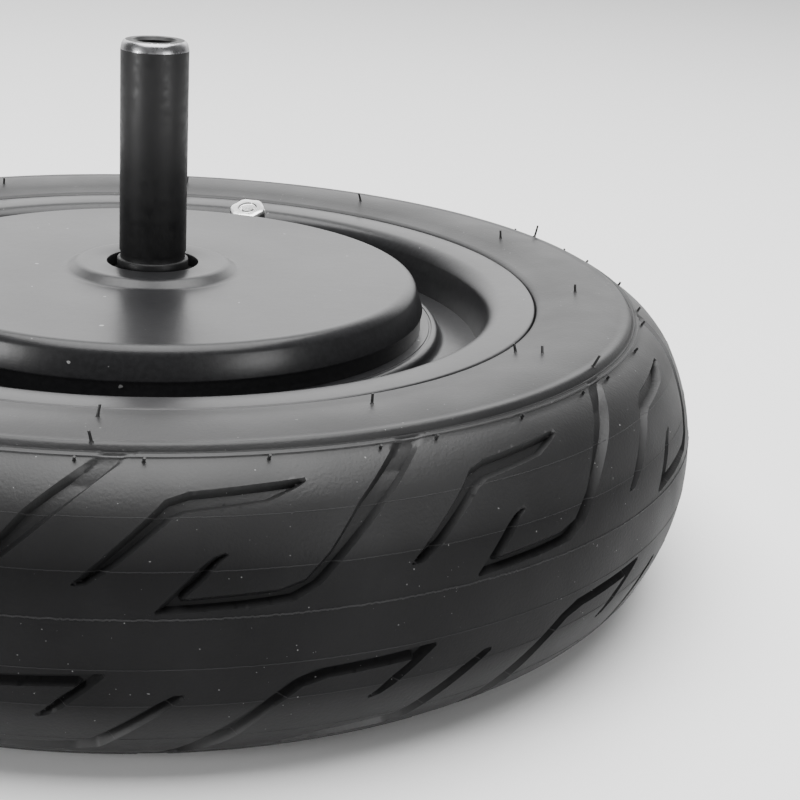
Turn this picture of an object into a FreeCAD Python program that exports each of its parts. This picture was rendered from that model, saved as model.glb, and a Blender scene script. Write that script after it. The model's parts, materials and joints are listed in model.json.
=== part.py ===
"""Single-sided hub motor wheel, 70/65-6.5 tubeless, lying on the tyre's outer sidewall.

Millimetres. +Z runs along the axle, from the sidewall that the wheel lies on towards the axle's free end.
The origin is on the axle's axis, in the plane that the tyre rests on.
"""
import FreeCAD
import Part
import math
import os

V = FreeCAD.Vector
AXIS = V(0, 0, 1)
ORIGIN = V(0, 0, 0)
STEP_PATH = "parts/{}.step"

# Tyre and rim
TYRE_R = 132.3
TYRE_W = 66.0
MID_Z = TYRE_W / 2
BEAD_R = 82.55
BEAD_FIT = 0.05
FLANGE_R = 93.0
FLANGE_TOP = 63.7
FLANGE_LOW = 60.7
WELL_R = 79.9
WELL_FLOOR = 52.8
WELL_FALL = 1.0
WELL_UNDERSIDE = 47.6
DROP_R = 71.2

# Motor shell, which is one casting with the rim
HOUSING_IN_R = 65.25
HOUSING_OUT_R = 70.2
HOUSING_TOP = 57.3
HOUSING_BOTTOM = TYRE_W - HOUSING_TOP
FACED_TOP = 56.0
INNER_FLANGE_R = 56.2
INNER_FLANGE_Z = HOUSING_TOP - 4.5

# Covers
COVER_TOP = 67.1
COVER_EDGE_R = 61.8
COVER_BORE_R = 10.9
DRUM_R = 66.0
DRUM_BOTTOM = COVER_TOP - 7.2
NECK_R = 62.8
BOSS_TOP = COVER_TOP + 1.7
SEAL_TOP = COVER_TOP - 1.0
OUTER_COVER_R = 78.4
OUTER_COVER_Z = (HOUSING_BOTTOM - 4.0, HOUSING_BOTTOM - 0.5)
POCKET_FLOOR = 10.0
SCREW_COUNT = 6
SCREW_R = 2.0
INNER_SCREW_CIRCLE_R = 59.6
OUTER_SCREW_CIRCLE_R = 73.6

# Axle
AXLE_R = 8.0
AXLE_TOP = COVER_TOP + 54.5
AXLE_BORE_R = 4.5
SEAT_R = 8.5
COLLAR_TOP = COVER_TOP + 2.7
SHOULDER_R = 9.5
SHOULDER_Z = (POCKET_FLOOR + 10.0, COVER_TOP - 15.0)
LOWER_SEAT_R = 7.5
AXLE_BOTTOM = POCKET_FLOOR + 0.4
BORE_BOTTOM = 45.0
KEY = (-11.4, -7.4, -2.0, 2.0, 25.0, 41.0)

# Motor
SLOTS = 27
MAGNETS = 30
STACK_Z = (20.0, 43.0)
STATOR_R = 56.6
TOOTH_W = 4.6
YOKE_R = (33.0, 37.5)
SHOE_IN_R = 54.0
COIL_R = (38.4, 53.4)
COIL_END = 4.0
FLUX_R = (60.5, 65.2)
FLUX_Z = (15.5, 48.0)
MAGNET_X = (57.3, 60.2)
MAGNET_W = 11.0
BOARD_Z = 48.2

# Bearings: bore radius, outer radius, width, ball radius, pitch radius, ball count, lowest z
UPPER_BEARING = (SEAT_R, 17.5, 10.0, 2.38, 13.0, 10, SHOULDER_Z[1])
LOWER_BEARING = (LOWER_SEAT_R, 16.0, 9.0, 2.38, 11.75, 9, POCKET_FLOOR + 1.0)

# Valve: it crosses the well's floor upright, then leans towards the axle
VALVE_ANGLE = 69.0
VALVE_LEAN = 20.0
VALVE_CAP_R = 73.0
CAP_FLATS = 9.4
VALVE_TOP = COVER_TOP - 0.6
VALVE_BEND = 9.0
VALVE_R = VALVE_CAP_R + VALVE_BEND * math.sin(math.radians(VALVE_LEAN))
VALVE_BEND_Z = VALVE_TOP - VALVE_BEND * math.cos(math.radians(VALVE_LEAN))
STEM_R = 3.0
THREAD_R = 3.85
GROMMET_R = 3.6


def cylinder(radius, z0, z1, x=0.0, y=0.0):
    return Part.makeCylinder(radius, z1 - z0, V(x, y, z0), AXIS)


def ring(inner, outer, z0, z1):
    return cylinder(outer, z0, z1).cut(cylinder(inner, z0 - 1, z1 + 1))


def box(x0, x1, y0, y1, z0, z1):
    return Part.makeBox(x1 - x0, y1 - y0, z1 - z0, V(x0, y0, z0))


def turned(shape, degrees):
    copy = shape.copy()
    copy.rotate(ORIGIN, AXIS, degrees)
    return copy


def around(shape, count, start=0.0):
    """Copies of a shape, evenly spaced round the axle."""
    return [turned(shape, start + 360.0 * i / count) for i in range(count)]


def fused(shapes):
    return shapes[0].multiFuse(shapes[1:]).removeSplitter()


def revolved(start, *steps):
    """Turns a closed outline of (r, z) points about the axle. A step is a point, or (via, end) for an arc."""
    edges = []
    here = start
    for step in (*steps, start):
        if isinstance(step[0], tuple):
            via, end = step
            arc = Part.Arc(V(here[0], 0, here[1]), V(via[0], 0, via[1]), V(end[0], 0, end[1]))
            edges.append(arc.toShape())
        else:
            end = step
            edges.append(Part.LineSegment(V(here[0], 0, here[1]), V(end[0], 0, end[1])).toShape())
        here = end
    solid = Part.Face(Part.Wire(edges)).revolve(ORIGIN, AXIS, 360)
    return Part.makeSolid(solid) if solid.ShapeType != "Solid" else solid


def mirrored_pair(half):
    """A half built above the wheel's middle plane, joined to its mirror image below."""
    other = half.mirror(V(0, 0, MID_Z), AXIS)
    return half.fuse(other).removeSplitter()


def hexagon(across_flats, z0, z1, x=0.0):
    corner = across_flats / math.sqrt(3)
    points = [V(x + corner * math.cos(math.radians(60 * i)), corner * math.sin(math.radians(60 * i)), z0)
              for i in range(7)]
    return Part.Face(Part.makePolygon(points)).extrude(V(0, 0, z1 - z0))


def make_tyre():
    """The hollow carcass: round crown, shoulder groove, swelling sidewalls and a bead on each side."""
    bead = BEAD_R + BEAD_FIT
    flange = FLANGE_LOW - BEAD_FIT
    half = revolved(
        (TYRE_R, MID_Z),
        ((TYRE_R - 1.35, MID_Z + 11.0), (TYRE_R - 5.4, MID_Z + 21.5)),
        ((123.4, MID_Z + 26.2), (118.6, MID_Z + 29.6)),
        (116.4, MID_Z + 30.4),
        ((115.9, TYRE_W - 1.6), (114.6, TYRE_W - 1.1)),
        (113.6, TYRE_W - 1.0),
        ((108.3, TYRE_W), (103.0, TYRE_W - 1.0)),
        ((98.7, TYRE_W - 2.4), (94.2, TYRE_W - 3.4)),
        (FLANGE_R + 0.35, TYRE_W - 4.2),
        (FLANGE_R + 0.35, flange),
        (86.4, flange),
        ((83.7, flange - 1.0), (bead, flange - 3.2)),
        (bead, WELL_UNDERSIDE + 1.2),
        (86.2, WELL_UNDERSIDE - 0.4),
        ((92.0, 57.4), (103.0, 61.2)),
        ((119.0, 55.0), (125.6, MID_Z)),
    )
    return mirrored_pair(half)


def rim_half():
    """Motor shell, well floor, barrel, bead seat and flange of the side that faces up."""
    low = WELL_FLOOR - WELL_FALL
    return revolved(
        (HOUSING_IN_R, MID_Z),
        (DROP_R, MID_Z),
        (DROP_R, WELL_UNDERSIDE - 0.6),
        ((DROP_R + 0.2, WELL_UNDERSIDE - 0.2), (DROP_R + 0.6, WELL_UNDERSIDE)),
        (BEAD_R - 0.6, WELL_UNDERSIDE),
        (BEAD_R, WELL_UNDERSIDE + 0.6),
        (BEAD_R, FLANGE_LOW - 3.0),
        ((83.6, FLANGE_LOW - 0.8), (86.2, FLANGE_LOW)),
        (FLANGE_R - 0.8, FLANGE_LOW),
        ((FLANGE_R - 0.2, FLANGE_LOW + 0.2), (FLANGE_R, FLANGE_LOW + 0.8)),
        (FLANGE_R, FLANGE_TOP - 1.2),
        ((FLANGE_R - 0.35, FLANGE_TOP - 0.35), (FLANGE_R - 1.2, FLANGE_TOP)),
        (85.4, FLANGE_TOP - 0.25),
        ((83.0, FLANGE_TOP - 1.3), (WELL_R + 1.6, FLANGE_TOP - 3.6)),
        (WELL_R, low + 0.7),
        ((WELL_R - 0.2, low + 0.2), (WELL_R - 0.7, low)),
        (HOUSING_OUT_R + 1.6, WELL_FLOOR),
        ((HOUSING_OUT_R + 0.5, WELL_FLOOR + 0.5), (HOUSING_OUT_R, WELL_FLOOR + 1.6)),
        (HOUSING_OUT_R, HOUSING_TOP - 0.6),
        ((HOUSING_OUT_R - 0.2, HOUSING_TOP - 0.2), (HOUSING_OUT_R - 0.6, HOUSING_TOP)),
        (INNER_FLANGE_R, HOUSING_TOP),
        (INNER_FLANGE_R, INNER_FLANGE_Z),
        (HOUSING_IN_R, INNER_FLANGE_Z),
    )


def facing_cut():
    """What is machined off the shell's end on the axle side, where the cover sits."""
    above = HOUSING_TOP + 1
    return revolved(
        (INNER_FLANGE_R - 1, FACED_TOP),
        (HOUSING_OUT_R - 1.3, FACED_TOP),
        ((HOUSING_OUT_R - 0.4, FACED_TOP - 0.4), (HOUSING_OUT_R, FACED_TOP - 1.4)),
        (HOUSING_OUT_R + 0.5, FACED_TOP - 1.4),
        (HOUSING_OUT_R + 0.5, above),
        (INNER_FLANGE_R - 1, above),
    )


def make_rim():
    boss = cylinder(4.4, HOUSING_BOTTOM, TYRE_W - WELL_FLOOR + 1, OUTER_SCREW_CIRCLE_R)
    rim = fused([mirrored_pair(rim_half()), *around(boss, SCREW_COUNT)])
    outer_hole_end = TYRE_W - WELL_UNDERSIDE - 1.8
    outer_hole = cylinder(SCREW_R, HOUSING_BOTTOM - 1, outer_hole_end, OUTER_SCREW_CIRCLE_R)
    inner_hole = cylinder(SCREW_R, INNER_FLANGE_Z - 1, HOUSING_TOP + 1, INNER_SCREW_CIRCLE_R)
    cuts = [cylinder(HOUSING_IN_R, HOUSING_BOTTOM - 1, INNER_FLANGE_Z), facing_cut()]
    cuts += around(outer_hole, SCREW_COUNT) + around(inner_hole, SCREW_COUNT)
    cuts += [turned(cylinder(GROMMET_R, WELL_UNDERSIDE - 1, WELL_FLOOR + 2, VALVE_R), VALVE_ANGLE)]
    return rim.cut(cuts[0].multiFuse(cuts[1:]))


def make_axle_side_cover():
    """The smooth drum round the axle, with the bearing and seal pocket inside it."""
    hub_r, pocket_r, hub_bottom = 22.0, UPPER_BEARING[1], SHOULDER_Z[1] - 1.0
    skirt_in, ceiling = 57.0, COVER_TOP - 3.5
    cover = revolved(
        (COVER_BORE_R, SEAL_TOP),
        (COVER_BORE_R, BOSS_TOP),
        (17.4, BOSS_TOP),
        (21.3, COVER_TOP),
        (COVER_EDGE_R, COVER_TOP),
        ((COVER_EDGE_R + 1.2, COVER_TOP - 0.4), (COVER_EDGE_R + 2.0, COVER_TOP - 1.4)),
        (DRUM_R, DRUM_BOTTOM),
        (NECK_R, DRUM_BOTTOM),
        (NECK_R, FACED_TOP),
        (skirt_in, FACED_TOP),
        (skirt_in, ceiling - 2.0),
        ((skirt_in - 0.6, ceiling - 0.6), (skirt_in - 2.0, ceiling)),
        (hub_r + 2.0, ceiling),
        ((hub_r + 0.6, ceiling - 0.6), (hub_r, ceiling - 2.0)),
        (hub_r, hub_bottom),
        (pocket_r, hub_bottom),
        (pocket_r, SEAL_TOP),
    )
    threads = around(cylinder(SCREW_R, FACED_TOP - 1, COVER_TOP - 3.6, INNER_SCREW_CIRCLE_R), SCREW_COUNT)
    return cover.cut(threads[0].multiFuse(threads[1:]))


def make_outer_cover():
    low, high = OUTER_COVER_Z
    hub_r, pocket_r, hub_top, cap_z = 21.0, LOWER_BEARING[1], SHOULDER_Z[0], low - 2.3
    plate = revolved(
        (0, cap_z),
        (15.0, cap_z),
        ((18.0, cap_z + 0.4), (20.0, low - 0.6)),
        ((21.0, low - 0.1), (22.5, low)),
        (OUTER_COVER_R - 1.0, low),
        ((OUTER_COVER_R - 0.3, low + 0.3), (OUTER_COVER_R, low + 1.0)),
        (OUTER_COVER_R, high),
        (hub_r, high),
        (hub_r, hub_top),
        (pocket_r, hub_top),
        (pocket_r, POCKET_FLOOR),
        (0, POCKET_FLOOR),
    )
    rib = box(21.0, 58.0, -1.6, 1.6, low - 1.1, low + 0.5)
    rim_ring = ring(57.0, 60.0, low - 1.1, low + 0.5)
    ribs = around(rib, 12)
    cover = fused([plate, rim_ring, *ribs])
    holes = around(cylinder(SCREW_R + 0.2, low - 1, high + 1, OUTER_SCREW_CIRCLE_R), SCREW_COUNT)
    return cover.cut(holes[0].multiFuse(holes[1:]))


def make_gasket():
    return ring(HOUSING_IN_R + 0.2, HOUSING_OUT_R - 0.4, OUTER_COVER_Z[1], HOUSING_BOTTOM)


def socket_screw(head_r, head_h, z_face, length, along):
    """A button-head socket screw whose head bears on z_face and whose shank runs up from there."""
    head = revolved((0, z_face - head_h), (head_r * 0.55, z_face - head_h),
                    ((head_r * 0.88, z_face - head_h * 0.6), (head_r, z_face)), (0, z_face))
    shank = cylinder(SCREW_R - 0.02, z_face - 0.2, z_face + length)
    socket = hexagon(2.5, z_face - head_h - 0.1, z_face - head_h + 1.3)
    screw = head.fuse(shank).cut(socket)
    screw.translate(V(along, 0, 0))
    return screw


def make_axle():
    low, high = SHOULDER_Z
    body = revolved(
        (0, AXLE_BOTTOM),
        (LOWER_SEAT_R - 0.6, AXLE_BOTTOM),
        (LOWER_SEAT_R, AXLE_BOTTOM + 0.6),
        (LOWER_SEAT_R, low),
        (SHOULDER_R, low),
        (SHOULDER_R, high),
        (SEAT_R, high),
        (SEAT_R, COLLAR_TOP - 0.4),
        (SEAT_R - 0.4, COLLAR_TOP),
        (AXLE_R - 0.3, COLLAR_TOP),
        (AXLE_R - 0.3, COLLAR_TOP + 1.5),
        (AXLE_R, COLLAR_TOP + 1.8),
        (AXLE_R, AXLE_TOP - 2.0),
        (AXLE_R - 0.8, AXLE_TOP),
        (0, AXLE_TOP),
    )
    bore = cylinder(AXLE_BORE_R, BORE_BOTTOM, AXLE_TOP + 1)
    mouth = Part.makeCone(AXLE_BORE_R, AXLE_BORE_R + 0.6, 0.6, V(0, 0, AXLE_TOP - 0.6), AXIS)
    cable_exit = box(0, 12, -3.2, 3.2, BORE_BOTTOM, BORE_BOTTOM + 6.5)
    return body.cut(bore.multiFuse([mouth, cable_exit, make_key()]))


def make_key():
    return box(*KEY)


def make_stator_carrier():
    """The spider that carries the laminations on the axle. Its hub stays clear of the lower bearing."""
    low, high = SHOULDER_Z[0] + 1.2, STACK_Z[1] - 1.0
    parts = [ring(SHOULDER_R, 15.5, low, high), ring(29.5, YOKE_R[0], STACK_Z[0] + 1, high)]
    parts += around(box(14.5, 30.5, -3.0, 3.0, low, high - 2), 6, 30.0)
    return fused(parts).cut(make_key())


def teeth(width, outer, z0, z1):
    """The yoke and its radial teeth, as one solid from z0 to z1."""
    tooth = box(YOKE_R[1] - 1.0, outer, -width / 2, width / 2, z0, z1)
    return fused([ring(YOKE_R[0], YOKE_R[1], z0, z1), *around(tooth, SLOTS)])


def make_stator_core():
    low, high = STACK_Z
    slot_opening = box(SHOE_IN_R - 2, STATOR_R + 2, -1.1, 1.1, low - 1, high + 1)
    openings = around(slot_opening, SLOTS, 180.0 / SLOTS)
    shoes = ring(SHOE_IN_R, STATOR_R, low, high).cut(openings[0].multiFuse(openings[1:]))
    return fused([teeth(TOOTH_W, SHOE_IN_R + 0.8, low, high), *shoes.Solids])


def make_insulator(z0, z1):
    return teeth(TOOTH_W + 0.6, SHOE_IN_R, z0, z1)


def make_coils(phase):
    """The nine coils of one phase: three neighbouring teeth in each third of the stator."""
    low, high = STACK_Z[0] - COIL_END, STACK_Z[1] + COIL_END
    inner, outer = COIL_R
    half_in, half_out = 4.15, 5.65
    left = [V(inner, -half_in, low), V(outer, -half_out, low)]
    right = [V(outer, half_out, low), V(inner, half_in, low)]
    corners = left + right
    block = Part.Face(Part.makePolygon([*corners, corners[0]])).extrude(V(0, 0, high - low))
    tooth_w = TOOTH_W / 2 + 0.4
    window = box(inner - 1, outer + 1, -tooth_w, tooth_w, STACK_Z[0] - 1.1, STACK_Z[1] + 1.1)
    crown_edges = [e for e in block.Edges if abs(e.Vertexes[0].Z - e.Vertexes[-1].Z) < 1e-6
                   and abs(e.Vertexes[0].X - e.Vertexes[-1].X) > 1.0]
    coil = block.makeFillet(2.6, crown_edges).cut(window)
    pitch = 360.0 / SLOTS
    return [turned(coil, pitch * (3 * phase + third * 9 + tooth)) for third in range(3) for tooth in range(3)]


def make_magnets():
    magnet = box(*MAGNET_X, -MAGNET_W / 2, MAGNET_W / 2, STACK_Z[0] - 2, STACK_Z[1] + 1)
    return around(magnet, MAGNETS)


def make_hall_board():
    sector = Part.makeCylinder(53.6, 1.6, V(0, 0, BOARD_Z), AXIS, 110)
    return turned(sector, 70).cut(cylinder(35.0, BOARD_Z - 1, BOARD_Z + 3))


def make_hall_sensors():
    sensor = box(51.6, 53.2, -1.9, 1.9, BOARD_Z - 1.2, BOARD_Z)
    pitch = 360.0 / SLOTS
    return [turned(sensor, pitch * (8.5 + 1 + i)) for i in range(-2, 3, 2)]


def bearing(spec):
    """Inner race, outer race, balls, cage and the two shields of a deep-groove ball bearing."""
    bore, outer, width, ball_r, pitch_r, count, z0 = spec
    z1, mid = z0 + width, z0 + width / 2
    groove = Part.makeTorus(pitch_r, ball_r + 0.07, V(0, 0, mid), AXIS)
    land = 0.75 * ball_r
    inner_race = ring(bore, pitch_r - land, z0, z1).cut(groove)
    outer_race = ring(pitch_r + land, outer, z0, z1).cut(groove)
    ball = Part.makeSphere(ball_r, V(pitch_r, 0, mid))
    pocket = Part.makeCylinder(ball_r + 0.12, 4.0, V(pitch_r - 2.0, 0, mid), V(1, 0, 0))
    cage_h = ball_r + 0.75
    pockets = around(pocket, count)
    band = ring(pitch_r - 0.7, pitch_r + 0.7, mid - cage_h, mid + cage_h)
    cage = band.cut(pockets[0].multiFuse(pockets[1:]))
    shield = [ring(pitch_r - land + 0.3, pitch_r + land, z, z + 0.5) for z in (z0 + 0.3, z1 - 0.8)]
    return inner_race, outer_race, around(ball, count), cage, shield


def make_oil_seal():
    low, high = UPPER_BEARING[6] + UPPER_BEARING[2] + 0.2, SEAL_TOP
    return revolved((SEAT_R + 0.06, low + 1.5), (SEAT_R + 0.06, low + 2.1), (9.6, high), (17.45, high),
                    (17.45, low), (16.0, low), (15.6, high - 1.2), (10.6, high - 1.4), (9.4, low + 1.0))


def make_wave_washer():
    return ring(12.6, 15.6, POCKET_FLOOR, POCKET_FLOOR + 1.0)


def leaning(shape):
    """Moves a shape built about +Z, with the cap's top at z = 0, to the leaning end of the valve."""
    copy = shape.copy()
    copy.rotate(ORIGIN, V(0, 1, 0), -VALVE_LEAN)
    copy.translate(V(VALVE_CAP_R, 0, VALVE_TOP))
    return copy


def make_valve():
    """Stem with its bend, rubber base, core and cap, in place at the valve's angle."""
    foot = cylinder(STEM_R, WELL_UNDERSIDE - 2.6, VALVE_BEND_Z, VALVE_R)
    knee = Part.makeSphere(STEM_R, V(VALVE_R, 0, VALVE_BEND_Z))
    neck = cylinder(THREAD_R - 0.4, -VALVE_BEND + 0.6, -2.6)
    ridges = []
    for turn in range(6):
        z = -8.2 + 0.8 * turn
        ridges.append(Part.makeCone(THREAD_R - 0.4, THREAD_R, 0.4, V(0, 0, z), AXIS))
        ridges.append(Part.makeCone(THREAD_R, THREAD_R - 0.4, 0.4, V(0, 0, z + 0.4), AXIS))
    root = cylinder(STEM_R, -VALVE_BEND, -VALVE_BEND + 0.8)
    stem = fused([foot, knee, *(leaning(piece) for piece in (root, neck, *ridges))])
    stem = stem.cut(leaning(cylinder(2.0, -7.0, 0.0)))
    base = fused([cylinder(4.3, WELL_UNDERSIDE - 1.6, WELL_UNDERSIDE, VALVE_R),
                  cylinder(GROMMET_R, WELL_UNDERSIDE, WELL_FLOOR + 2.2, VALVE_R)])
    base = base.cut(cylinder(STEM_R, WELL_UNDERSIDE - 5, WELL_FLOOR + 5, VALVE_R))
    core = leaning(fused([cylinder(1.95, -6.8, -3.4), cylinder(0.6, -3.4, -2.2)]))
    outline = revolved((0, -8.0), (5.7, -8.0), (5.7, -1.0), ((5.5, -0.4), (4.9, 0)), (0, 0))
    hollow = cylinder(THREAD_R + 0.08, -9.0, -1.8)
    dimple = ring(1.8, 2.5, -0.35, 1.0)
    cap_hex = turned(hexagon(CAP_FLATS, -8.0, 0.0), 30.0)
    cap = leaning(cap_hex.common(outline).cut(hollow.fuse(dimple)))
    return {name: turned(shape, VALVE_ANGLE) for name, shape in
            (("valve_stem", stem), ("valve_rubber_base", base), ("valve_core", core), ("valve_cap", cap))}


def all_parts():
    parts = {
        "tyre": make_tyre(),
        "rim": make_rim(),
        "axle_side_cover": make_axle_side_cover(),
        "axle_side_cover_screws": around(
            socket_screw(3.2, 2.0, INNER_FLANGE_Z, 9.0, INNER_SCREW_CIRCLE_R), SCREW_COUNT),
        "outer_cover": make_outer_cover(),
        "outer_cover_screws": around(
            socket_screw(3.6, 2.2, OUTER_COVER_Z[0], 10.5, OUTER_SCREW_CIRCLE_R), SCREW_COUNT),
        "outer_cover_gasket": make_gasket(),
        "flux_ring": ring(*FLUX_R, *FLUX_Z),
        "magnets": make_magnets(),
        "axle": make_axle(),
        "axle_key": make_key(),
        "stator_carrier": make_stator_carrier(),
        "stator_core": make_stator_core(),
        "upper_slot_insulator": make_insulator(STACK_Z[1], STACK_Z[1] + 1.0),
        "lower_slot_insulator": make_insulator(STACK_Z[0] - 1.0, STACK_Z[0]),
        "hall_board": make_hall_board(),
        "hall_sensors": make_hall_sensors(),
        "oil_seal": make_oil_seal(),
        "wave_washer": make_wave_washer(),
    }
    for index, phase in enumerate("uvw"):
        parts[f"phase_{phase}_coils"] = make_coils(index)
    for place, spec in (("upper", UPPER_BEARING), ("lower", LOWER_BEARING)):
        inner_race, outer_race, balls, cage, shields = bearing(spec)
        parts[f"{place}_bearing_inner_race"] = inner_race
        parts[f"{place}_bearing_outer_race"] = outer_race
        parts[f"{place}_bearing_balls"] = balls
        parts[f"{place}_bearing_cage"] = cage
        parts[f"{place}_bearing_shields"] = shields
    parts.update(make_valve())
    return parts


def main():
    os.makedirs("parts", exist_ok=True)
    for name, made in all_parts().items():
        shape = Part.makeCompound(made) if isinstance(made, list) else made
        shape.exportStep(STEP_PATH.format(name))
        print(name, len(shape.Solids), "solids", round(shape.Volume), "mm3", shape.isValid())


main()
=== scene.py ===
import json
import math

import bpy
import numpy as np
from mathutils import Matrix, Vector


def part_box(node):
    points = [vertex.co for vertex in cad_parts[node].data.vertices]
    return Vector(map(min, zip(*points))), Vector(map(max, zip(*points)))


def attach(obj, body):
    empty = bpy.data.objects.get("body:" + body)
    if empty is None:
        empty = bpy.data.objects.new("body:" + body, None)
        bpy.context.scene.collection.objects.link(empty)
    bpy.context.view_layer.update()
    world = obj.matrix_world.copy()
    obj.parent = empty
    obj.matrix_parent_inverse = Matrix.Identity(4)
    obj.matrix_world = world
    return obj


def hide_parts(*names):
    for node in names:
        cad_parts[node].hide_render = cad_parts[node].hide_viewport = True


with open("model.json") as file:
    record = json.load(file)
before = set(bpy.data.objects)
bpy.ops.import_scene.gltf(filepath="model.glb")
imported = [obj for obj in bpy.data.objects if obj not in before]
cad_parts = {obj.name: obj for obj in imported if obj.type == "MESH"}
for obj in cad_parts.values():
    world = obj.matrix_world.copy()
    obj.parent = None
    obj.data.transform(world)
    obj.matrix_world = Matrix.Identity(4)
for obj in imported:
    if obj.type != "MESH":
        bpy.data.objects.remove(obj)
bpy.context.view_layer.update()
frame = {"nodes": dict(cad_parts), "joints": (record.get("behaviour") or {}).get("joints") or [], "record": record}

MM = 0.001


def top_mm(node):
    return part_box(node)[1].z / MM


def radius_mm(node):
    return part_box(node)[1].x / MM


# ---------------------------------------------------------------- sizes, in millimetres, from the frame

FLANGE_THICKNESS = 3.0
BOSS_RISE = 1.7
SCREW_RISE = 5.8

TYRE_R = radius_mm("tyre")
TYRE_W = top_mm("tyre")
MID_Z = TYRE_W / 2
FLANGE_R = radius_mm("rim")
FLANGE_TOP = top_mm("rim")
FLANGE_LOW = FLANGE_TOP - FLANGE_THICKNESS
COVER_TOP = top_mm("axle_side_cover") - BOSS_RISE
FACED_TOP = top_mm("axle_side_cover_screws") - SCREW_RISE
DRUM_R = radius_mm("axle_side_cover")
AXLE_TOP = top_mm("axle")
AXLE_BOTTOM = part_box("axle")[0].z / MM
AXLE_R = 8.0
SEAT_R = 8.5
BORE_R = 4.5
BEAD_R = 82.6
WELL_UNDERSIDE = 47.6    # the face of the rim's well that is inside the tyre
SHELL_R = 70.2
DRUM_FOOT_R = 65.6
CENTRE_R = 0.02    # closes the middle of a lathed face

# Tread: a pitch is one repeat. Places on it are (degrees round the wheel, millimetres from the crown's line).
PITCHES = 13
PITCH = 360.0 / PITCHES
MM_PER_DEGREE = math.radians(1.0) * TYRE_R
COLUMNS_PER_PITCH = 128
TREAD_EDGE = 37.0
GROOVE_DEPTH = 1.8
GROOVE_WALL = 1.0
GROOVE_END = 36.8
GROOVE_RUN_OUT = 7.0
LOWER_SIDE_TURN = -2.9
HOOK_GROOVE = [
    (-6.3, 10.8), (-5.4, 12.6), (0.0, 23.8), (1.2, 26.6), (3.2, 28.1), (8.3, 29.0), (14.0, 29.9),
    (12.4, 27.9), (9.8, 25.6), (2.8, 23.9), (1.6, 22.6), (-3.0, 13.8), (-4.9, 11.0),
]
LONG_GROOVE = [
    (23.4, 36.6), (17.5, 24.1), (14.5, 15.7), (12.3, 11.1), (10.2, 9.7), (2.7, 8.8), (4.3, 11.9),
    (5.5, 15.0), (6.9, 17.4), (5.1, 16.3), (3.9, 14.3), (0.1, 5.8), (7.8, 6.6), (11.4, 7.2),
    (13.5, 9.5), (16.2, 15.3), (20.9, 25.0), (26.4, 36.6),
]


# ---------------------------------------------------------------- outlines and meshes

def arc_points(start, via, end, step):
    """Points after start on the circle through three (r, z) points, about step apart."""
    a, b, c = (np.array(p, float) for p in (start, via, end))
    lhs = 2 * np.array([b - a, c - a])
    centre = np.linalg.solve(lhs, [b @ b - a @ a, c @ c - a @ a])
    angles = np.unwrap([math.atan2(*(p - centre)[::-1]) for p in (a, b, c)])
    size = np.linalg.norm(a - centre)
    count = max(2, math.ceil(size * abs(angles[2] - angles[0]) / step))
    turns = np.linspace(angles[0], angles[2], count + 1)[1:]
    return [tuple(centre + size * np.array([math.cos(t), math.sin(t)])) for t in turns]


def outline(start, *steps, step=0.6):
    """A run of (r, z) points. A step is a point, or (via, end) for an arc."""
    points = [tuple(start)]
    for item in steps:
        if isinstance(item[0], tuple):
            points += arc_points(points[-1], *item, step)
        else:
            points.append(item)
    return points


def subdivided(points, step):
    """The same run with long straight stretches divided."""
    out = [points[0]]
    for a, b in zip(points, points[1:]):
        count = max(1, math.ceil(math.dist(a, b) / step))
        out += [tuple(np.array(a) + (np.array(b) - np.array(a)) * i / count) for i in range(1, count + 1)]
    return out


def new_piece(name, vertices, faces, material, smooth_angle=35.0):
    mesh = bpy.data.meshes.new(name)
    mesh.from_pydata(np.asarray(vertices).tolist(), [], faces)
    mesh.validate()
    mesh.shade_smooth()
    if smooth_angle is not None:
        mesh.set_sharp_from_angle(angle=math.radians(smooth_angle))
    piece = bpy.data.objects.new(name, mesh)
    bpy.context.scene.collection.objects.link(piece)
    mesh.materials.append(material)
    return piece


def ring_faces(rows, columns, closed_rows=True):
    """Quads over a grid of rows round the axis. Vertex (row, column) has index row * columns + column."""
    faces = []
    for i in range(rows if closed_rows else rows - 1):
        here, there = i * columns, (i + 1) % rows * columns
        faces += [(here + j, here + (j + 1) % columns, there + (j + 1) % columns, there + j)
                  for j in range(columns)]
    return faces


def lathe(name, points, material, columns=256, closed=True, shape=None):
    """Turns (r, z) points about the axis. shape(row, angles) may give each row's own radii."""
    angles = np.linspace(0, 2 * math.pi, columns, endpoint=False)
    rows = []
    for i, (r, z) in enumerate(points):
        radii = np.full(columns, r) if shape is None else shape(i, angles)
        rows.append(np.stack([radii * np.cos(angles), radii * np.sin(angles), np.full(columns, z)], 1))
    faces = ring_faces(len(points), columns, closed)
    return new_piece(name, np.concatenate(rows) * MM, faces, material)


# ---------------------------------------------------------------- materials

def nodes_of(name, colour, roughness, metallic=0.0, specular=0.5):
    material = bpy.data.materials.new(name)
    material.use_nodes = True
    tree = material.node_tree
    shader = tree.nodes["Principled BSDF"]
    shader.inputs["Base Color"].default_value = (*colour, 1.0)
    shader.inputs["Roughness"].default_value = roughness
    shader.inputs["Metallic"].default_value = metallic
    shader.inputs["Specular IOR Level"].default_value = specular
    return material, tree, shader


def noise(tree, scale, detail=3.0, stretch=(1, 1, 1), roughness=0.5):
    """Noise in the piece's own coordinates, with scale in features per metre."""
    place = tree.nodes.new("ShaderNodeTexCoord")
    mapping = tree.nodes.new("ShaderNodeMapping")
    mapping.inputs["Scale"].default_value = stretch
    texture = tree.nodes.new("ShaderNodeTexNoise")
    texture.inputs["Scale"].default_value = scale
    texture.inputs["Detail"].default_value = detail
    texture.inputs["Roughness"].default_value = roughness
    tree.links.new(place.outputs["Object"], mapping.inputs["Vector"])
    tree.links.new(mapping.outputs["Vector"], texture.inputs["Vector"])
    return texture.outputs["Fac"]


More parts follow.
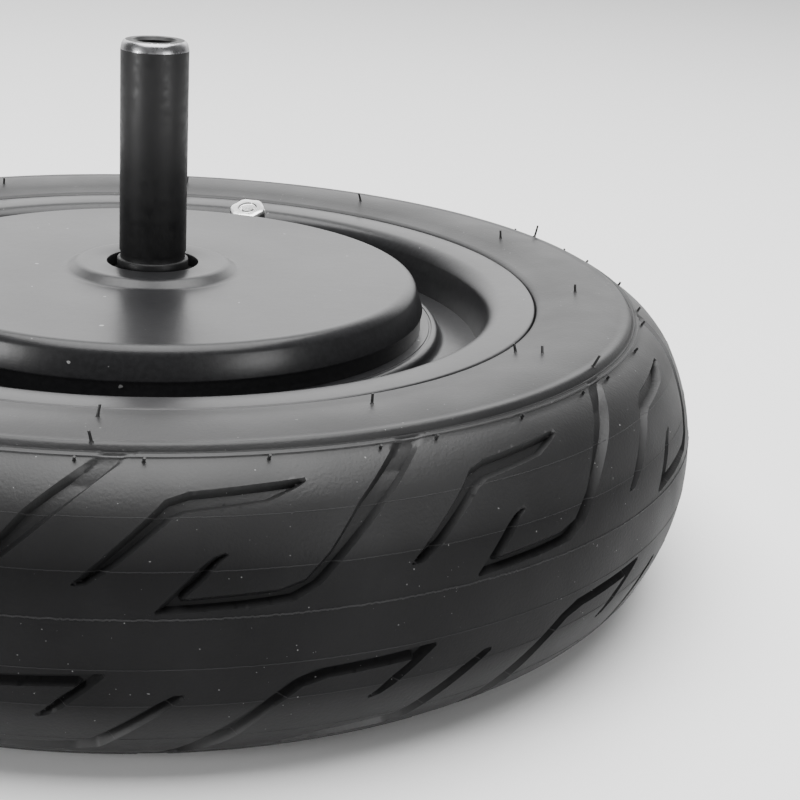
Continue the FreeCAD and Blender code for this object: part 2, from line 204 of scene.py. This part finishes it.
def ramp(tree, source, low, high, from_low, from_high):
    """Maps source between two values to two colours or greys."""
    node = tree.nodes.new("ShaderNodeValToRGB")
    node.color_ramp.elements[0].position = from_low
    node.color_ramp.elements[1].position = from_high
    node.color_ramp.elements[0].color = (*low, 1.0)
    node.color_ramp.elements[1].color = (*high, 1.0)
    tree.links.new(source, node.inputs["Fac"])
    return node.outputs["Color"]


def map_range(tree, source, from_low, from_high, low, high):
    node = tree.nodes.new("ShaderNodeMapRange")
    for name, value in zip(("From Min", "From Max", "To Min", "To Max"), (from_low, from_high, low, high)):
        node.inputs[name].default_value = value
    tree.links.new(source, node.inputs["Value"])
    return node.outputs["Result"]


def math_node(tree, operation, first, second=None):
    node = tree.nodes.new("ShaderNodeMath")
    node.operation = operation
    tree.links.new(first, node.inputs[0])
    if isinstance(second, float):
        node.inputs[1].default_value = second
    elif second is not None:
        tree.links.new(second, node.inputs[1])
    return node.outputs["Value"]


def vary_roughness(tree, shader, source, low, high):
    tree.links.new(map_range(tree, source, 0.3, 0.7, low, high), shader.inputs["Roughness"])


def bump(tree, shader, source, height, strength=1.0, after=None):
    """Adds a bump of that height in metres, on top of an earlier bump if one is given."""
    node = tree.nodes.new("ShaderNodeBump")
    node.inputs["Strength"].default_value = strength
    node.inputs["Distance"].default_value = height
    tree.links.new(source, node.inputs["Height"])
    if after is not None:
        tree.links.new(after.outputs["Normal"], node.inputs["Normal"])
    tree.links.new(node.outputs["Normal"], shader.inputs["Normal"])
    return node


def scale(colour, factor):
    return tuple(min(1.0, c * factor) for c in colour)


def speckled(tree, shader, tone, mask, colour):
    """Base colour from tone, with the other colour where mask is bright."""
    mix = tree.nodes.new("ShaderNodeMix")
    mix.data_type = "RGBA"
    mix.inputs["B"].default_value = (*colour, 1.0)
    tree.links.new(mask, mix.inputs["Factor"])
    tree.links.new(tone, mix.inputs["A"])
    tree.links.new(mix.outputs["Result"], shader.inputs["Base Color"])


def rubber(name, colour, side_roughness=0.45, tread_roughness=0.5, specular=0.42, crown_specular=0.07):
    """Moulded rubber: dull at the crown, glossier towards the sides, mottled, pitted and a little dusty."""
    crown_end, shoulder, side_start, side_end = (mm * MM for mm in (13, 25, 24, 29))
    material, tree, shader = nodes_of(name, colour, side_roughness, specular=specular)
    skin = ramp(tree, noise(tree, 45.0, 6.0), scale(colour, 0.8), scale(colour, 1.3), 0.3, 0.7)
    specks = ramp(tree, noise(tree, 1300.0, 1.0), (0, 0, 0), (0.5, 0.5, 0.5), 0.78, 0.81)
    speckled(tree, shader, skin, specks, (0.3, 0.3, 0.3))
    place = tree.nodes.new("ShaderNodeTexCoord")
    split = tree.nodes.new("ShaderNodeSeparateXYZ")
    tree.links.new(place.outputs["Object"], split.inputs["Vector"])
    height = math_node(tree, "SUBTRACT", split.outputs["Z"], MID_Z * MM)
    beside = math_node(tree, "ABSOLUTE", height)
    smooth = map_range(tree, beside, side_start, side_end, tread_roughness, side_roughness)
    sheen = map_range(tree, beside, crown_end, shoulder, crown_specular, specular)
    tree.links.new(sheen, shader.inputs["Specular IOR Level"])
    cloud = map_range(tree, noise(tree, 60.0, 4.0), 0.3, 0.7, -0.03, 0.05)
    tree.links.new(math_node(tree, "ADD", smooth, cloud), shader.inputs["Roughness"])
    pits = bump(tree, shader, noise(tree, 1500.0, 3.0), 0.00009, 0.6)
    bump(tree, shader, noise(tree, 260.0, 3.0), 0.0001, 0.25, after=pits)
    return material


def paint(name, colour, roughness=0.36):
    """Satin paint over a casting: fine grain, faint orange peel, cloudy gloss."""
    material, tree, shader = nodes_of(name, colour, roughness, specular=0.36)
    tone = ramp(tree, noise(tree, 900.0, 2.0), scale(colour, 0.85), scale(colour, 1.2), 0.35, 0.65)
    chips = ramp(tree, noise(tree, 420.0, 1.0), (0, 0, 0), (1, 1, 1), 0.79, 0.80)
    speckled(tree, shader, tone, chips, (0.25, 0.25, 0.25))
    vary_roughness(tree, shader, noise(tree, 25.0, 4.0), roughness - 0.02, roughness + 0.04)
    grain = bump(tree, shader, noise(tree, 2400.0, 2.0), 0.00003, 0.5)
    bump(tree, shader, noise(tree, 350.0, 2.0), 0.00008, 0.3, after=grain)
    return material


def metal(name, colour, roughness=0.3, stretch=(1, 1, 1), metallic=1.0, grain=600.0, specular=0.5):
    """Machined or plated metal. stretch draws the grain out along an axis."""
    material, tree, shader = nodes_of(name, colour, roughness, metallic, specular)
    tone = ramp(tree, noise(tree, grain / 6, 4.0, stretch), scale(colour, 0.8), scale(colour, 1.15), 0.3, 0.7)
    tree.links.new(tone, shader.inputs["Base Color"])
    vary_roughness(tree, shader, noise(tree, grain / 3, 4.0, stretch), roughness - 0.08, roughness + 0.1)
    bump(tree, shader, noise(tree, grain, 2.0, stretch), 0.00003, 0.4)
    return material


def plastic(name, colour, roughness=0.45):
    material, tree, shader = nodes_of(name, colour, roughness)
    tone = ramp(tree, noise(tree, 120.0, 4.0), scale(colour, 0.88), scale(colour, 1.1), 0.3, 0.7)
    tree.links.new(tone, shader.inputs["Base Color"])
    vary_roughness(tree, shader, noise(tree, 90.0, 3.0), roughness - 0.05, roughness + 0.08)
    bump(tree, shader, noise(tree, 1500.0, 2.0), 0.00004, 0.4)
    return material


def winding(name, colour):
    """Enamelled wire laid side by side: glossy ridges along the coil."""
    material, tree, shader = nodes_of(name, colour, 0.25, 0.6)
    place = tree.nodes.new("ShaderNodeTexCoord")
    wave = tree.nodes.new("ShaderNodeTexWave")
    wave.bands_direction = "Z"
    wave.inputs["Scale"].default_value = 500.0
    wave.inputs["Distortion"].default_value = 1.5
    tree.links.new(place.outputs["Object"], wave.inputs["Vector"])
    tone = ramp(tree, wave.outputs["Fac"], scale(colour, 0.45), colour, 0.1, 0.7)
    tree.links.new(tone, shader.inputs["Base Color"])
    bump(tree, shader, wave.outputs["Fac"], 0.0003, 0.6)
    return material


MATERIALS = {
    "tyre_rubber": rubber("tyre_rubber", (0.007, 0.007, 0.0073)),
    "painted_alloy": paint("painted_alloy", (0.015, 0.015, 0.016), 0.3),
    "blackened_steel": metal(
        "blackened_steel", (0.01, 0.01, 0.0104), 0.46, metallic=0.0, grain=1500.0, specular=0.28
    ),
    "bearing_steel": metal("bearing_steel", (0.66, 0.66, 0.67), 0.18),
    "zinc_steel": metal("zinc_steel", (0.6, 0.6, 0.6), 0.35),
    "black_screw": metal("black_screw", (0.03, 0.03, 0.032), 0.4, metallic=0.6),
    "lamination": metal("lamination", (0.33, 0.33, 0.35), 0.4, (1, 1, 12)),
    "magnet": metal("magnet", (0.62, 0.62, 0.63), 0.22),
    "copper": winding("copper", (0.55, 0.2, 0.07)),
    "insulator": plastic("insulator", (0.72, 0.7, 0.62)),
    "board": plastic("board", (0.02, 0.12, 0.05), 0.3),
    "chip": plastic("chip", (0.02, 0.02, 0.02)),
    "cast_aluminium": metal("cast_aluminium", (0.6, 0.61, 0.62), 0.45),
    "seal_rubber": rubber("seal_rubber", (0.02, 0.02, 0.02), 0.5, 0.5),
    "valve_brass": metal("valve_brass", (0.62, 0.58, 0.42), 0.3),
    "valve_cap_metal": metal("valve_cap_metal", (0.93, 0.93, 0.92), 0.25, grain=300.0),
    "cage": plastic("cage", (0.5, 0.4, 0.27)),
}
POLISHED_EDGE = metal("polished_edge", (0.36, 0.36, 0.37), 0.28, grain=1200.0)
# Lighter rubber for the mould lines: a painted highlight where the raised flash catches the light.
PAINTED_HIGHLIGHT_RUBBER = rubber("painted_highlight_rubber", (0.02, 0.02, 0.0205), 0.5, 0.5)
# A lighter copy of the tread's rubber for the upward-facing sidewall: painted light where the overhead light
# falls.
PAINTED_LIGHT_SIDEWALL_RUBBER = rubber("painted_light_sidewall_rubber", (0.011, 0.011, 0.0115), 0.45, 0.45, 0.42)


def dress_frame():
    """Gives every part of the frame the material of its slot."""
    for part in frame["record"]["subparts"]:
        piece = frame["nodes"][part["node"]]
        for place in piece.material_slots:
            place.material = MATERIALS[part["material_slot"]]
        piece.data.shade_smooth()


# ---------------------------------------------------------------- tyre

def tyre_half():
    """The tyre's section above its middle plane, from the crown round to the inner crown, and the count of
    points that are outside."""
    crown = outline(
        (TYRE_R, MID_Z),
        ((TYRE_R - 1.35, MID_Z + 11.0), (TYRE_R - 5.4, MID_Z + 21.5)),
        ((123.4, MID_Z + 26.2), (118.6, MID_Z + 29.6)),
        (116.9, TYRE_W - 2.25),
        ((116.4, TYRE_W - 2.5), (116.0, TYRE_W - 2.1)),
        (115.5, TYRE_W - 1.35),
        ((115.0, TYRE_W - 0.95), (114.3, TYRE_W - 0.93)),
        (113.4, TYRE_W - 1.05),
        step=0.4,
    )
    sidewall = outline(
        crown[-1],
        ((106.5, TYRE_W - 0.2), (99.5, TYRE_W - 0.9)),
        ((96.8, TYRE_W - 1.5), (94.4, TYRE_W - 1.9)),
        ((93.7, TYRE_W - 2.2), (FLANGE_R + 0.15, TYRE_W - 3.2)),
        step=1.0,
    )
    under_flange = FLANGE_LOW - 0.05
    inside = outline(
        sidewall[-1],
        (FLANGE_R + 0.15, under_flange),
        (86.4, under_flange),
        ((83.7, under_flange - 0.9), (BEAD_R, under_flange - 3.0)),
        (BEAD_R, WELL_UNDERSIDE + 1.2),
        (86.2, WELL_UNDERSIDE - 0.4),
        ((92.0, 57.4), (103.0, 61.2)),
        ((119.0, 55.0), (125.6, MID_Z)),
        step=3.0,
    )
    outer = subdivided(crown + sidewall[1:], 0.55)
    return outer + inside[1:], len(outer)


HALF, OUTER_COUNT = tyre_half()
LENGTHS = np.concatenate([[0], np.cumsum(np.linalg.norm(np.diff(np.array(HALF), axis=0), axis=1))])
SIDE_END = LENGTHS[OUTER_COUNT - 1]


def on_section(along):
    """(r, z) and outward normal of the plain section at distances from the crown, + on the upper side."""
    along = np.atleast_1d(np.asarray(along, float))
    side = np.where(along < 0, -1.0, 1.0)
    half = np.array(HALF)
    reach = 0.4

    def at(x):
        x = np.clip(x, 0, SIDE_END)
        return np.stack([np.interp(x, LENGTHS, half[:, 0]), np.interp(x, LENGTHS, half[:, 1])], -1)

    here = at(abs(along))
    tangent = at(abs(along) + reach) - at(abs(along) - reach)
    tangent /= np.linalg.norm(tangent, axis=-1, keepdims=True)
    normal = np.stack([tangent[..., 1], -tangent[..., 0]], -1)
    here[..., 1] = MID_Z + side * (here[..., 1] - MID_Z)
    normal[..., 1] *= side
    return here, normal


def depth_inside(x, y, polygon):
    """Signed distance from the polygon's edge, + inside it."""
    distance = np.full(x.shape, 1e9)
    inside = np.zeros(x.shape, bool)
    for (ax, ay), (bx, by) in zip(polygon, polygon[1:] + polygon[:1]):
        ex, ey = bx - ax, by - ay
        t = np.clip(((x - ax) * ex + (y - ay) * ey) / (ex * ex + ey * ey), 0, 1)
        distance = np.minimum(distance, np.hypot(x - ax - t * ex, y - ay - t * ey))
        if ey != 0:
            inside ^= ((ay > y) != (by > y)) & (x < ax + ex * (y - ay) / ey)
    return np.where(inside, distance, -distance)


def inside_groove(degrees, along):
    """Distance inside the nearest groove's edge. The lower side is the upper one turned half round."""
    turned = np.where(along >= 0, degrees, LOWER_SIDE_TURN - degrees) % PITCH
    height = abs(along)
    deepest = np.full(turned.shape, -1e9)
    for groove in (HOOK_GROOVE, LONG_GROOVE):
        for shift in (-1, 0, 1):
            polygon = [((a + shift * PITCH) * MM_PER_DEGREE, s) for a, s in groove]
            deepest = np.maximum(deepest, depth_inside(turned * MM_PER_DEGREE, height, polygon))
    return deepest


def groove_depth(inside, along):
    """Sloping walls down to a flat floor that runs out at the shoulder."""
    run_out = np.clip((GROOVE_END - abs(along)) / GROOVE_RUN_OUT, 0, 1)
    return GROOVE_DEPTH * run_out * np.clip(inside / GROOVE_WALL, 0, 1)


def drawn_to_edges(degrees, along, reach=0.32):
    """Moves grid points near the top or the foot of a groove's wall onto it, so that the edges are clean."""
    inside = inside_groove(degrees, along)
    step = 0.02
    slope_a = (inside_groove(degrees + step / MM_PER_DEGREE, along) - inside) / step
    slope_s = (inside_groove(degrees, along + step) - inside) / step
    square = np.maximum(slope_a ** 2 + slope_s ** 2, 0.3)
    moved = inside.copy()
    for level in (0.0, GROOVE_WALL):
        near = abs(inside - level) < reach
        shift = np.where(near, (level - inside) / square, 0.0)
        degrees = degrees + shift * slope_a / MM_PER_DEGREE
        along = along + shift * slope_s
        moved[near] = level
    return degrees, along, groove_depth(moved, along)


def make_tyre():
    half = np.array(HALF)
    lower = half[-2:0:-1] * [1, -1] + [0, 2 * MID_Z]
    section = np.concatenate([half, lower])
    along = np.concatenate([LENGTHS, -LENGTHS[-2:0:-1]])
    columns = PITCHES * COLUMNS_PER_PITCH
    one_pitch = np.arange(COLUMNS_PER_PITCH) * PITCH / COLUMNS_PER_PITCH
    degrees = np.tile(np.arange(columns) * 360.0 / columns, (len(section), 1))
    places = np.tile(section[:, None, :], (1, columns, 1))
    tread = abs(along) < TREAD_EDGE
    moved_a, moved_s, depth = drawn_to_edges(*np.meshgrid(one_pitch, along[tread]))
    turns = np.repeat(np.arange(PITCHES) * PITCH, COLUMNS_PER_PITCH)
    degrees[tread] = np.tile(moved_a, (1, PITCHES)) + turns
    point, normal = on_section(np.tile(moved_s, (1, PITCHES)))
    places[tread] = point - normal * np.tile(depth, (1, PITCHES))[..., None]
    angles = np.radians(degrees - 90.0)
    r, z = places[..., 0], places[..., 1]
    vertices = np.stack([r * np.cos(angles), r * np.sin(angles), z], -1).reshape(-1, 3) * MM
    faces = ring_faces(len(section), columns)
    tyre = new_piece("tyre_tread", vertices, faces, MATERIALS["tyre_rubber"], 40.0)
    # The sidewalls get the lighter copy of the rubber: painted light on the faces turned up to the light.
    tyre.data.materials.append(PAINTED_LIGHT_SIDEWALL_RUBBER)
    rows = np.repeat(np.roll(abs(along), -1) > TREAD_EDGE, columns)
    tyre.data.polygons.foreach_set("material_index", rows.astype(np.int32))
    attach(tyre, "wheel")
    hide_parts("tyre")


def mould_line(along, height, width, roughness, random):
    """A thin raised line of flash round the tyre, which dips into the grooves that it crosses."""
    columns = PITCHES * COLUMNS_PER_PITCH
    degrees = np.arange(columns) * 360.0 / columns
    angles = np.radians(degrees - 90.0)
    ragged = 1 + roughness * (random.random(columns) - 0.5)
    wander = 0.5 * roughness * width * (random.random(columns) - 0.5)
    places = np.full(columns, along)
    sunk = groove_depth(inside_groove(degrees, places), places)
    rows = []
    for offset, rise in ((-width / 2, -0.15), (-width / 5, height), (width / 5, height), (width / 2, -0.15)):
        point, normal = on_section(along + offset + wander)
        lift = rise * ragged - sunk
        r = point[:, 0] + normal[:, 0] * lift
        z = point[:, 1] + normal[:, 1] * lift
        rows.append(np.stack([r * np.cos(angles), r * np.sin(angles), z], -1))
    return np.concatenate(rows) * MM, ring_faces(len(rows), columns, False)


def make_mould_lines():
    """Joints of the mould's segments across the tread, and the fine ribs beside the shoulder's groove."""
    random = np.random.default_rng(3)
    # Each line is its place, height, width and raggedness.
    lines = [(4.9, 0.14, 0.5, 0.8), (-5.1, 0.07, 0.3, 0.6)]
    lines += [(side * place, 0.06, 0.28, 0.6) for side in (-1, 1) for place in (13.6, 23.3)]
    lines += [(side * place, 0.3, 0.8, 0.0) for side in (-1, 1) for place in (35.5, 36.6)]
    vertices, faces = [], []
    for along, height, width, roughness in lines:
        more, quads = mould_line(along, height, width, roughness, random)
        base = sum(len(v) for v in vertices)
        vertices.append(more)
        faces += [tuple(base + i for i in quad) for quad in quads]
    # The lines are in a lighter rubber than the tyre: a painted highlight on the raised flash.
    piece = new_piece("tyre_mould_lines", np.concatenate(vertices), faces, PAINTED_HIGHLIGHT_RUBBER, 60.0)
    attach(piece, "wheel")


def hair(degrees, along, length, lean, thickness=0.34, sides=8, joints=4):
    """A rubber whisker left by a vent in the mould: a thin tapering tube that leans as it rises."""
    root, foot_size, twist = 0.1, 1.7, lean * 3.1
    (point,), (normal,) = on_section(along)
    a = math.radians(degrees - 90.0)
    out = Vector((math.cos(a), math.sin(a), 0))
    round_way = Vector((-math.sin(a), math.cos(a), 0))
    up = out * normal[0] + Vector((0, 0, normal[1]))
    base = out * point[0] + Vector((0, 0, point[1])) - up * root
    side = (round_way * math.cos(twist) + up.cross(round_way) * math.sin(twist)).normalized()
    across = up.cross(side)
    vertices, faces = [], []
    for i in range(joints + 1):
        t = i / joints
        centre = base + up * (root + length) * t ** 1.5 + side * lean * length * t * t
        size = thickness * (foot_size if i == 0 else 1 - 0.2 * t)
        for k in range(sides):
            turn = 2 * math.pi * k / sides
            vertices.append(centre + side * size * math.cos(turn) + across * size * math.sin(turn))
    for i in range(joints):
        faces += [(i * sides + k, i * sides + (k + 1) % sides, (i + 1) * sides + (k + 1) % sides,
                   (i + 1) * sides + k) for k in range(sides)]
    faces.append(tuple(range(sides))[::-1])
    faces.append(tuple(joints * sides + k for k in range(sides)))
    return vertices, faces


def make_hairs():
    """Whiskers in twelve places round the upper sidewall, and three to a pitch at its shoulder."""
    random = np.random.default_rng(7)
    sidewall, ridge, beside_rim, shoulder = 50.8, 38.9, 57.6, 34.4
    spots = []
    for i in range(12):
        degrees = -5.5 + 30.0 * i
        spots.append((degrees, sidewall, 2.4))
        if i in (0, 2, 4, 8, 10):
            spots.append((degrees + 0.2, ridge, 2.8))
        if i % 4 == 2:
            spots.append((degrees + 0.5, beside_rim, 2.4))
    for i in range(PITCHES):
        for offset in (-6.6, -0.6, 10.4):
            spots.append((offset + i * PITCH, shoulder, 1.2))
    vertices, faces = [], []
    for degrees, along, length in spots:
        points, quads = hair(degrees, along, length * random.uniform(0.7, 1.15), random.uniform(-0.25, 0.25))
        base = len(vertices)
        vertices += [p * MM for p in points]
        faces += [tuple(base + k for k in quad) for quad in quads]
    piece = new_piece("tyre_vent_hairs", [tuple(v) for v in vertices], faces, MATERIALS["tyre_rubber"])
    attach(piece, "wheel")


# ---------------------------------------------------------------- rim, cover and axle

def make_rim():
    """Motor shell, well, barrel and flange, the same on both sides of the middle plane."""
    shell_in, shell_end, barrel_in = 65.25, 57.3, 71.2
    floor, well_edge, wall = 52.8, 51.8, 79.9
    cover_seat, seam = 56.2, 68.05
    upper = outline(
        (barrel_in, MID_Z),
        (barrel_in, WELL_UNDERSIDE - 0.6),
        ((barrel_in + 0.2, WELL_UNDERSIDE - 0.2), (barrel_in + 0.6, WELL_UNDERSIDE)),
        (BEAD_R - 0.65, WELL_UNDERSIDE),
        (BEAD_R - 0.05, WELL_UNDERSIDE + 0.6),
        (BEAD_R - 0.05, FLANGE_LOW - 3.0),
        ((83.6, FLANGE_LOW - 0.8), (86.2, FLANGE_LOW)),
        (FLANGE_R - 0.8, FLANGE_LOW),
        ((FLANGE_R - 0.2, FLANGE_LOW + 0.2), (FLANGE_R, FLANGE_LOW + 0.8)),
        (FLANGE_R, FLANGE_TOP - 0.7),
        ((FLANGE_R - 0.2, FLANGE_TOP - 0.2), (FLANGE_R - 0.7, FLANGE_TOP)),
        ((89.0, FLANGE_TOP + 0.05), (85.4, FLANGE_TOP - 0.25)),
        ((83.0, FLANGE_TOP - 1.3), (wall + 1.6, FLANGE_TOP - 3.6)),
        (wall, well_edge),
        (SHELL_R + 1.6, floor),
        ((SHELL_R + 0.5, floor + 0.5), (SHELL_R, floor + 1.6)),
        step=0.35,
    )
    axle_side = outline(
        (SHELL_R, FACED_TOP - 1.4),
        ((SHELL_R - 0.4, FACED_TOP - 0.4), (SHELL_R - 1.3, FACED_TOP)),
        (seam + 0.35, FACED_TOP),
        (seam + 0.2, FACED_TOP - 0.2),
        (seam - 0.2, FACED_TOP - 0.2),
        (seam - 0.35, FACED_TOP),
        (cover_seat, FACED_TOP),
        (cover_seat, floor),
        (shell_in, floor),
        step=0.35,
    )
    outer_end = outline(
        (shell_in, shell_end),
        (SHELL_R - 0.7, shell_end),
        ((SHELL_R - 0.2, shell_end - 0.2), (SHELL_R, shell_end - 0.7)),
        step=0.35,
    )
    lower = [(r, 2 * MID_Z - z) for r, z in outer_end + upper[:0:-1]]
    upper += axle_side
    lower.append(upper.pop(0))
    rim = lathe("rim_casting", upper + lower, MATERIALS["painted_alloy"], 360)
    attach(rim, "wheel")
    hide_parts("rim")


def make_cover():
    """The drum round the axle: slightly crowned top, soft edge, raised boss and a bore."""
    bore, pocket, hub, inner, edge = 10.9, 17.5, 22.0, 57.0, DRUM_R - 4.9
    boss_top, seal_top, ceiling = COVER_TOP + BOSS_RISE, COVER_TOP - 1.0, COVER_TOP - 3.5
    drum_bottom, hub_bottom, foot_bottom = COVER_TOP - 7.2, COVER_TOP - 16.0, FACED_TOP + 0.05
    points = outline(
        (pocket, seal_top),
        (bore, seal_top),
        (bore, boss_top - 0.3),
        ((bore + 0.1, boss_top - 0.1), (bore + 0.3, boss_top)),
        (16.7, boss_top),
        ((17.9, boss_top - 0.05), (18.6, boss_top - 0.35)),
        (20.1, COVER_TOP + 0.3),
        ((20.9, COVER_TOP + 0.02), (hub, COVER_TOP)),
        (40.0, COVER_TOP - 0.02),
        (edge, COVER_TOP - 0.05),
        ((edge + 2.0, COVER_TOP - 0.55), (edge + 3.2, COVER_TOP - 2.3)),
        (DRUM_R - 0.1, drum_bottom + 0.3),
        ((DRUM_R - 0.1, drum_bottom + 0.1), (DRUM_R - 0.3, drum_bottom)),
        (DRUM_FOOT_R, drum_bottom - 0.3),
        (DRUM_FOOT_R, foot_bottom),
        (inner, foot_bottom),
        (inner, ceiling - 2.0),
        ((inner - 0.6, ceiling - 0.6), (inner - 2.0, ceiling)),
        (hub + 2.0, ceiling),
        ((hub + 0.6, ceiling - 0.6), (hub, ceiling - 2.0)),
        (hub, hub_bottom),
        (pocket, hub_bottom),
        step=0.3,
    )
    cover = lathe("axle_side_drum", points, MATERIALS["painted_alloy"], 360)
    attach(cover, "wheel")
    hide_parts("axle_side_cover")


def make_axle():
    """The stepped hollow axle, with its ground end, its relief above the collar and a polished chamfer."""
    collar, relief = COVER_TOP + 2.7, AXLE_R - 0.25
    shoulder_low, shoulder_high = 20.0, COVER_TOP - 15.0
    lower_seat, shoulder, bore_bottom = 7.5, 9.5, 45.0
    chamfer_low, face_edge = AXLE_TOP - 2.2, AXLE_R - 1.1
    chamfer = [(AXLE_R, chamfer_low), (AXLE_R - 0.3, AXLE_TOP - 0.9), (AXLE_R - 0.6, AXLE_TOP - 0.35),
               (face_edge, AXLE_TOP)]
    points = outline(
        (CENTRE_R, AXLE_BOTTOM),
        (lower_seat - 0.6, AXLE_BOTTOM),
        (lower_seat, AXLE_BOTTOM + 0.6),
        (lower_seat, shoulder_low),
        (shoulder, shoulder_low),
        (shoulder, shoulder_high),
        (SEAT_R, shoulder_high),
        (SEAT_R, collar - 0.5),
        ((SEAT_R - 0.15, collar - 0.15), (SEAT_R - 0.5, collar)),
        (relief, collar),
        (relief, collar + 1.4),
        (AXLE_R, collar + 1.8),
        *chamfer,
        (BORE_R + 0.7, AXLE_TOP),
        (BORE_R, AXLE_TOP - 0.7),
        (BORE_R, bore_bottom),
        (CENTRE_R, bore_bottom),
        step=0.2,
    )
    axle = lathe("axle_shaft", points, MATERIALS["blackened_steel"], 128)
    axle.data.materials.append(POLISHED_EDGE)
    for face in axle.data.polygons:
        centre = face.center / MM
        if centre.z > chamfer_low and math.hypot(centre.x, centre.y) > face_edge:
            face.material_index = 1
    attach(axle, "stator")
    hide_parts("axle")


def make_seal():
    """The shaft seal in the drum's bore: a flat face with a shallow groove and a lip against the axle."""
    low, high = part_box("oil_seal")
    top, bottom, out = high.z / MM, low.z / MM, high.x / MM
    lip = SEAT_R + 0.05
    points = outline(
        (lip, top - 0.9),
        (lip + 0.5, top - 0.4),
        (lip + 1.0, top - 0.3),
        ((lip + 1.6, top - 0.9), (lip + 2.2, top - 0.3)),
        (out - 0.4, top),
        (out, top - 0.4),
        (out, bottom),
        (lip + 1.2, bottom),
        (lip + 0.4, bottom + 0.8),
        step=0.3,
    )
    seal = lathe("shaft_seal", points, MATERIALS["seal_rubber"], 128)
    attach(seal, "wheel")
    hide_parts("oil_seal")


def make_valve_cap():
    """A hexagonal cap with softened corners, a chamfered crown and a sunk round face."""
    flats, corner, top = 4.7, 5.1, 4.0
    lift = next(j for j in frame["joints"] if j["child"] == "valve_cap")
    axis = Vector(lift["axis"]).normalized()
    low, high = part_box("valve_cap")
    centre = (low + high) / 2
    out = Vector((centre.x, centre.y, 0)).normalized()
    across = (out - axis * out.dot(axis)).normalized()
    # Each row is its radius, its height from the cap's middle, and 1 where it follows the hexagon.
    rows = [
        (3.95, 0.1 - top, 0), (4.5, -top, 1), (flats, 0.3 - top, 1), (flats, top - 1.0, 1), (4.6, 3.45, 1),
        (4.3, 3.85, 1), (3.9, top, 0), (2.7, top, 0), (2.45, 3.65, 0), (1.9, 3.65, 0), (1.6, 3.95, 0),
        (CENTRE_R, top, 0), (CENTRE_R, 2.2, 0), (3.93, 2.2, 0),
    ]

    def hexagon(row, angles):
        r, z, six = rows[row]
        if not six:
            return np.full(len(angles), r)
        folded = (angles + math.pi / 6) % (math.pi / 3) - math.pi / 6
        return np.minimum(r / np.cos(folded), corner * r / flats)

    points = [(r, z) for r, z, six in rows]
    cap = lathe("hex_valve_cap", points, MATERIALS["valve_cap_metal"], 96, shape=hexagon)
    basis = Matrix((across, axis.cross(across), axis)).transposed().to_4x4()
    cap.data.transform(Matrix.Translation(centre) @ basis)
    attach(cap, "valve_cap")
    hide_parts("valve_cap")


# ---------------------------------------------------------------- stage, light and camera

def make_stage():
    mesh = bpy.data.meshes.new("floor")
    size = 6.0
    corners = [(-size, -size, 0), (size, -size, 0), (size, size, 0), (-size, size, 0)]
    mesh.from_pydata(corners, [], [(0, 1, 2, 3)])
    floor = bpy.data.objects.new("floor", mesh)
    bpy.context.scene.collection.objects.link(floor)
    floor.data.materials.append(nodes_of("floor", (0.95, 0.95, 0.95), 0.9)[0])


def area_light(name, place, target, size, power):
    data = bpy.data.lights.new(name, "AREA")
    data.shape = "RECTANGLE"
    data.size, data.size_y = size
    data.energy = power
    light = bpy.data.objects.new(name, data)
    light.location = place
    light.visible_camera = False
    light.rotation_mode = "QUATERNION"
    light.rotation_quaternion = (Vector(target) - Vector(place)).to_track_quat("-Z", "Y")
    bpy.context.scene.collection.objects.link(light)


def make_lights():
    """A bright wall of light behind, a soft box above, two side lights and a dim room in front."""
    world = bpy.data.worlds.new("studio")
    world.use_nodes = True
    bpy.context.scene.world = world
    tree = world.node_tree
    background = tree.nodes["Background"]
    place = tree.nodes.new("ShaderNodeTexCoord")
    split = tree.nodes.new("ShaderNodeSeparateXYZ")
    tree.links.new(place.outputs["Generated"], split.inputs["Vector"])
    shade = map_range(tree, split.outputs["Y"], 0.5, 0.82, 0.2, 2.8)
    rise = map_range(tree, split.outputs["Z"], 0.02, 0.35, 0.45, 1.15)
    tree.links.new(math_node(tree, "MULTIPLY", shade, rise), background.inputs["Color"])
    background.inputs["Strength"].default_value = 1.0
    area_light("overhead", (0.0, 0.0, 1.25), (0.0, 0.0, 0.0), (1.4, 1.4), 46.0)
    area_light("left_strip", (-0.65, -0.37, 0.13), (0.0, 0.0, 0.09), (0.15, 0.24), 3.1)
    area_light("right_strip", (0.48, -0.56, 0.13), (0.0, 0.0, 0.09), (0.26, 0.24), 2.0)


def make_camera():
    """A long lens from the front, a little above, turned and tilted as the object was seen."""
    distance, rise, lens = 0.415, 0.1119, 78.8
    yaw, pitch, roll = (math.radians(a) for a in (8.56, 19.11, 3.43))
    forward = Vector((math.sin(yaw) * math.cos(pitch), math.cos(yaw) * math.cos(pitch), -math.sin(pitch)))
    level = forward.cross(Vector((0, 0, 1))).normalized()
    above = level.cross(forward)
    right = level * math.cos(roll) + above * math.sin(roll)
    up = above * math.cos(roll) - level * math.sin(roll)
    data = bpy.data.cameras.new("camera")
    data.sensor_width = 36.0
    data.lens = lens
    data.clip_start = 0.01
    camera = bpy.data.objects.new("camera", data)
    camera.matrix_world = Matrix((right, up, -forward)).transposed().to_4x4()
    camera.location = (0.0, -distance, COVER_TOP * MM + rise)
    bpy.context.scene.collection.objects.link(camera)
    bpy.context.scene.camera = camera


make_camera()
dress_frame()
make_tyre()
make_mould_lines()
make_hairs()
make_rim()
make_cover()
make_axle()
make_seal()
make_valve_cap()
make_stage()
make_lights()
